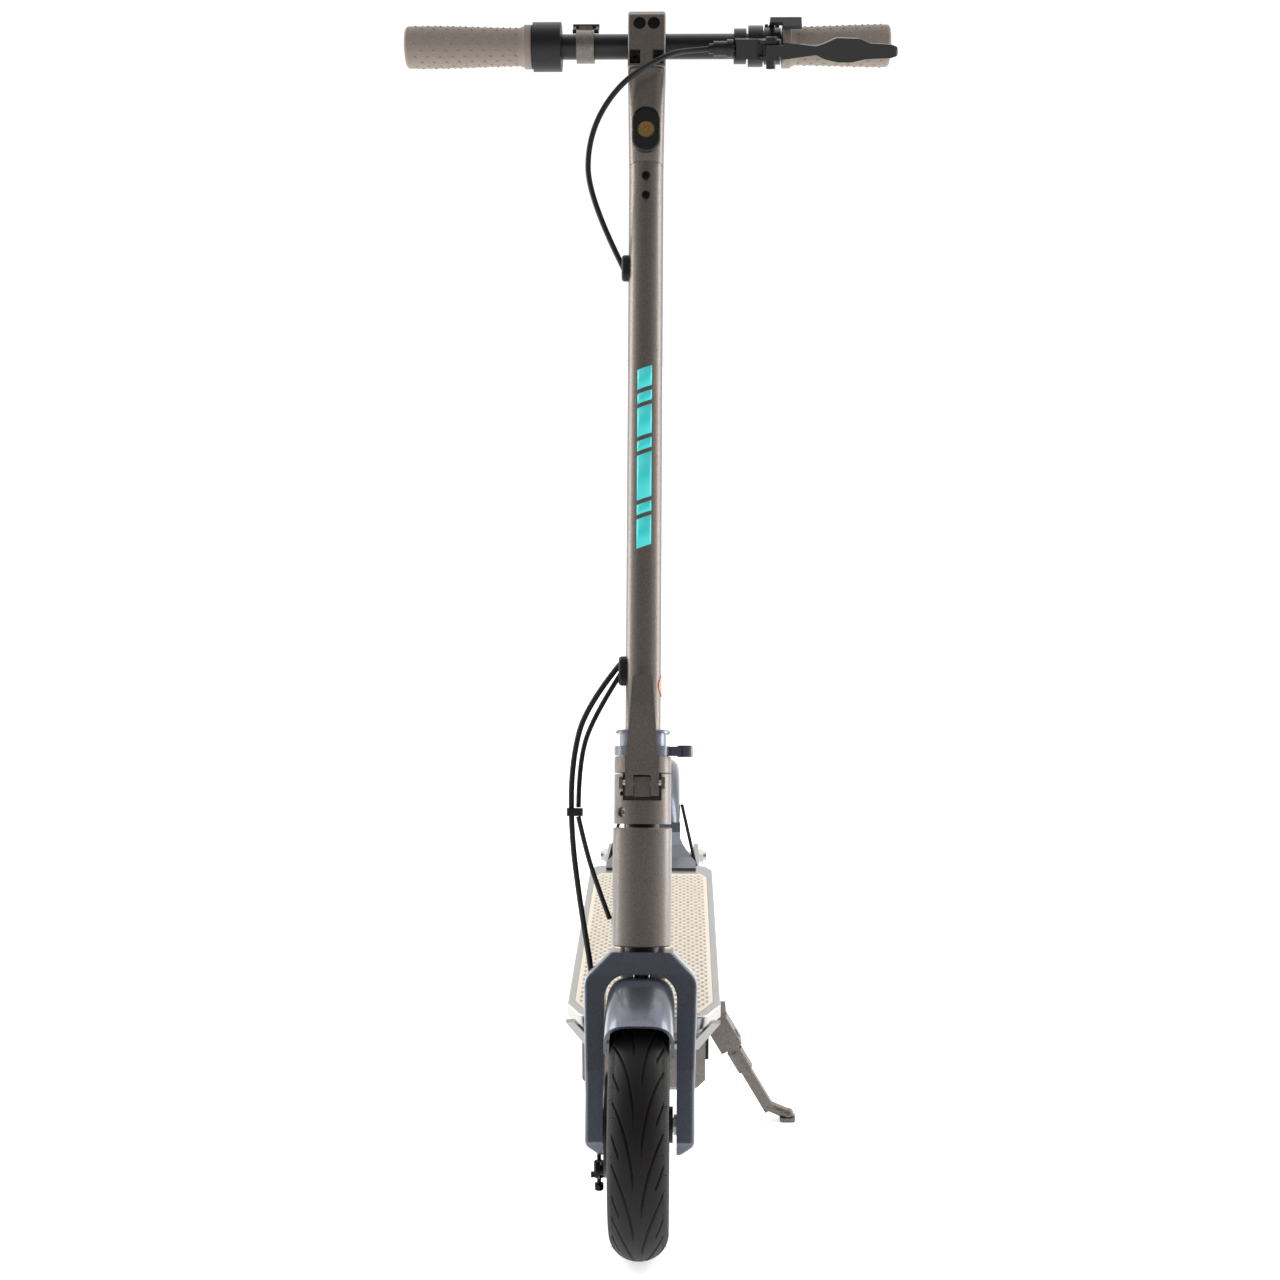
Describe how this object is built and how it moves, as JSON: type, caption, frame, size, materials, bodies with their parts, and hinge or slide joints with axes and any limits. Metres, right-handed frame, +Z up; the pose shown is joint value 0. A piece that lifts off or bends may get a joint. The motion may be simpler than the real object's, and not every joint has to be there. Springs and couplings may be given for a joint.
{
  "type": "electric kick scooter",
  "caption": "Folding electric kick scooter with drum brake, hub motor, deck mat, mudguards, lit stem head and sprung controls, on its kickstand.",
  "frame": {"origin": "on the ground at the middle of the box around the whole scooter", "axes": "-Y forward, +Z up, +X to the rider's left"},
  "size_m": [0.4401, 0.9923, 1.0476],
  "materials": {
    "titanium_paint": "fine metallic titanium-grey paint",
    "blue_grey_paint": "gloss blue-grey metallic paint",
    "silver_paint": "light silver-grey anodised aluminium",
    "tray_paint": "satin grey paint",
    "stand_paint": "satin dark grey paint",
    "mat_rubber": "matte cream moulded rubber",
    "tyre_rubber": "matte black tyre rubber",
    "black_satin": "satin black paint",
    "black_plastic": "fine-textured black plastic",
    "grip_rubber": "matte beige-grey rubber",
    "black_rubber": "matte black rubber",
    "steel": "zinc-plated steel",
    "dark_steel": "black-oxide steel",
    "chrome_trim": "bright polished trim",
    "amber_lens": "amber-brown clear plastic",
    "red_lens": "clear red plastic",
    "reflector_plastic": "red-orange prism reflector",
    "screen_glass": "dark gloss screen",
    "pack_wrap": "blue shrink wrap",
    "copper_coil": "wound copper on steel",
    "cast_aluminium": "cast aluminium"
  },
  "bodies": {
    "frame": {"main_frame": "titanium_paint", "headset_bearings": "dark_steel", "deck_frame": "silver_paint", "deck_mat": "mat_rubber", "deck_front_trim": "chrome_trim", "battery_tray": "tray_paint", "battery_pack": "pack_wrap", "motor_controller": "cast_aluminium", "charge_socket": "black_plastic", "rear_arms": "silver_paint", "rear_mudguard": "blue_grey_paint", "mudguard_stays": "dark_steel", "tail_light": "red_lens", "motor_axle": "copper_coil", "kickstand_bracket": "stand_paint", "control_cable_lower": "black_rubber"},
    "steering": {"fork": "blue_grey_paint", "steerer_tube": "black_satin", "front_mudguard": "blue_grey_paint", "front_axle": "steel", "drum_brake": "black_satin", "fold_base": "titanium_paint", "base_fasteners": "steel", "lower_brake_cable": "black_rubber", "cable_clip": "black_plastic"},
    "stem": {"stem_foot": "titanium_paint", "stem_spool": "blue_grey_paint", "stem_tube": "titanium_paint", "stem_head": "titanium_paint", "headlight_bezel": "black_plastic", "headlight_lens": "amber_lens", "display_pod": "titanium_paint", "display_screen": "screen_glass", "stem_screws": "dark_steel", "cable_grommets": "black_rubber", "side_reflector": "reflector_plastic", "handlebar": "black_satin", "right_grip": "grip_rubber", "left_grip": "grip_rubber", "throttle_housing": "black_plastic", "latch_band": "stand_paint", "brake_perch": "black_satin", "bell_body": "black_satin", "upper_brake_cable": "black_rubber", "control_cable_upper": "black_rubber"},
    "fold_lever": {"fold_lever": "titanium_paint"},
    "safety_ring": {"safety_ring": "blue_grey_paint"},
    "brake_lever": {"brake_lever": "black_satin"},
    "brake_arm": {"brake_arm": "dark_steel"},
    "throttle_lever": {"throttle_lever": "black_plastic"},
    "bell_striker": {"bell_striker": "black_plastic"},
    "latch_loop": {"latch_loop": "black_satin"},
    "power_button": {"power_button": "black_plastic"},
    "front_wheel": {"front_tyre": "tyre_rubber", "front_hub_rim": "black_satin"},
    "rear_wheel": {"rear_tyre": "tyre_rubber", "motor_shell": "black_satin"},
    "kickstand": {"kickstand": "stand_paint"},
    "charge_cover": {"charge_cover": "black_rubber"}
  },
  "joints": [
    {"name": "steer", "type": "hinge", "parent": "frame", "child": "steering", "pos_m": [0, -0.31063, 0.29064], "axis": [0, 0.2756, 0.9613], "range_deg": [-45, 45], "deforming": ["control_cable_lower"]},
    {"name": "stem_fold", "type": "hinge", "parent": "steering", "child": "stem", "pos_m": [0, -0.25423, 0.37486], "axis": [-1, 0, 0], "range_deg": [0, 82], "deforming": ["lower_brake_cable", "control_cable_upper"]},
    {"name": "fold_lever_open", "type": "hinge", "parent": "steering", "child": "fold_lever", "pos_m": [0, -0.30944, 0.38185], "axis": [1, 0, 0], "range_deg": [0, 100]},
    {"name": "safety_ring_turn", "type": "hinge", "parent": "stem", "child": "safety_ring", "pos_m": [0, -0.27865, 0.40215], "axis": [0, 0.2756, 0.9613], "range_deg": [0, 60]},
    {"name": "front_wheel_spin", "type": "hinge", "parent": "steering", "child": "front_wheel", "pos_m": [0, -0.388, 0.108], "axis": [1, 0, 0], "continuous": true},
    {"name": "rear_wheel_spin", "type": "hinge", "parent": "frame", "child": "rear_wheel", "pos_m": [0, 0.372, 0.108], "axis": [1, 0, 0], "continuous": true},
    {"name": "kickstand_fold", "type": "hinge", "parent": "frame", "child": "kickstand", "pos_m": [0.08, -0.15, 0.084], "axis": [0.866, 0, 0.5], "range_deg": [0, 85]},
    {"name": "brake_lever_pull", "type": "hinge", "parent": "stem", "child": "brake_lever", "pos_m": [0.111, -0.13884, 1.00912], "axis": [0, -0.2419, 0.9703], "range_deg": [0, 17], "stiffness_Nm_per_rad": 0.6, "springref_deg": -5.73},
    {"name": "brake_arm_turn", "type": "hinge", "parent": "steering", "child": "brake_arm", "pos_m": [-0.03, -0.398, 0.072], "axis": [1, 0, 0], "range_deg": [0, 17]},
    {"name": "throttle_push", "type": "hinge", "parent": "stem", "child": "throttle_lever", "pos_m": [-0.0915, -0.10197, 1.01832], "axis": [-1, 0, 0], "range_deg": [0, 35], "stiffness_Nm_per_rad": 0.2, "springref_deg": -5.73},
    {"name": "bell_strike", "type": "hinge", "parent": "stem", "child": "bell_striker", "pos_m": [0.113, -0.09729, 1.03466], "axis": [1, 0, 0], "range_deg": [0, 10], "stiffness_Nm_per_rad": 0.05, "springref_deg": -5.73},
    {"name": "latch_loop_swing", "type": "hinge", "parent": "stem", "child": "latch_loop", "pos_m": [-0.056, -0.09784, 1.03273], "axis": [1, 0, 0], "range_deg": [0, 90]},
    {"name": "power_button_press", "type": "slide", "parent": "stem", "child": "power_button", "axis": [0, -0.866, -0.5], "range_m": [0, 0.001], "stiffness_N_per_m": 300, "springref_m": -0.001},
    {"name": "charge_cover_open", "type": "hinge", "parent": "frame", "child": "charge_cover", "pos_m": [0.059, -0.21, 0.1195], "axis": [0, -1, 0], "range_deg": [0, 95]}
  ],
  "couplings": [
    {"joint": "brake_arm_turn", "follows": "brake_lever_pull", "ratio": 1}
  ]
}
